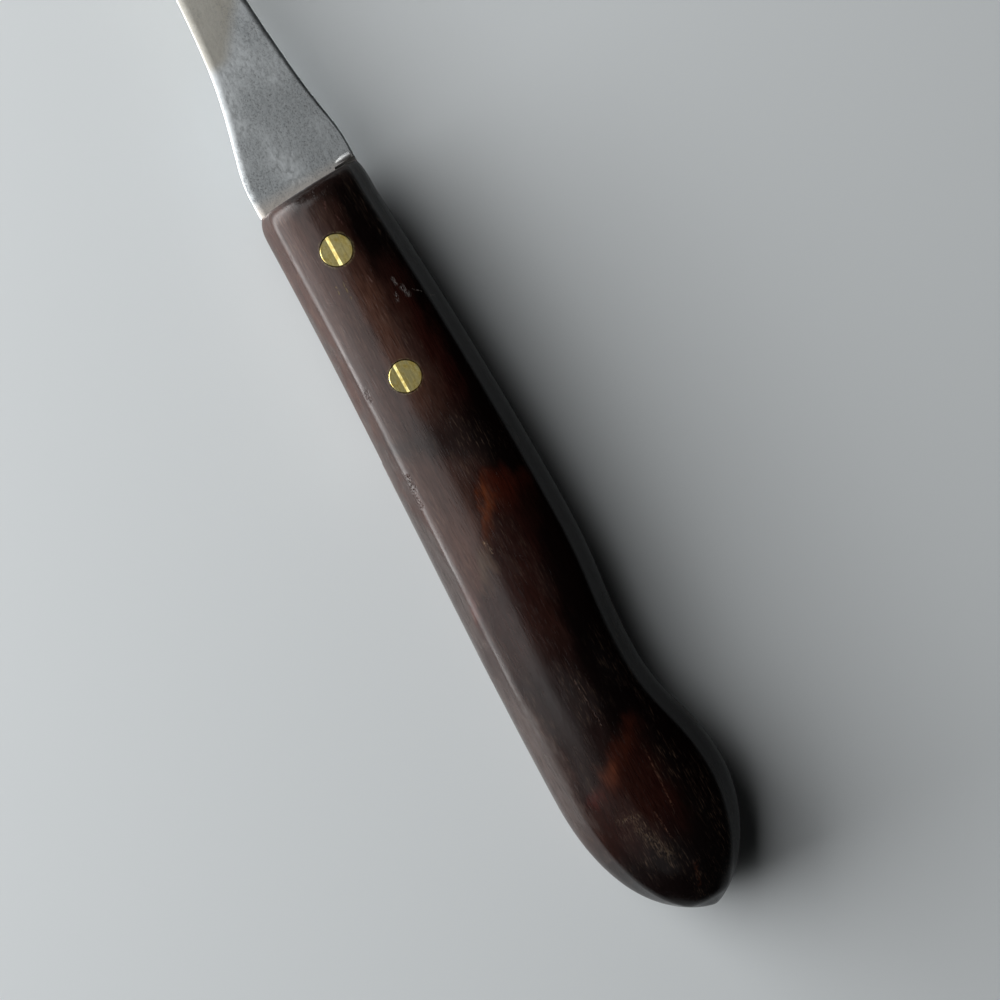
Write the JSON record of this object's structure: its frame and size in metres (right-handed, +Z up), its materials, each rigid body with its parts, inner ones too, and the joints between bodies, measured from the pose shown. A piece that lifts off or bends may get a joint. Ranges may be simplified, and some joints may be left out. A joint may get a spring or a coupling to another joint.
{
  "type": "carving fork",
  "caption": "Carving fork: a swept steel fork with long tines, its half tang held by brass cutler's rivets in a slotted, contoured rosewood handle.",
  "frame": {"origin": "centre of the bounding box's base: the fork lies flat, on its lower cheek and the sweep of its tines", "axes": "+X along the fork to its points, +Y towards the back of the handle, +Z up through the flat of the plate"},
  "size_m": [0.2984, 0.0248, 0.0159],
  "materials": {
    "steel": "ground and worn satin stainless steel",
    "rosewood": "dark rosewood, rubbed to a soft gloss",
    "brass": "brass ground flush with the wood"
  },
  "bodies": {
    "root": {"fork": "steel", "handle": "rosewood", "front_rivet_stud": "brass", "front_rivet_tube": "brass", "rear_rivet_stud": "brass", "rear_rivet_tube": "brass"}
  },
  "joints": []
}
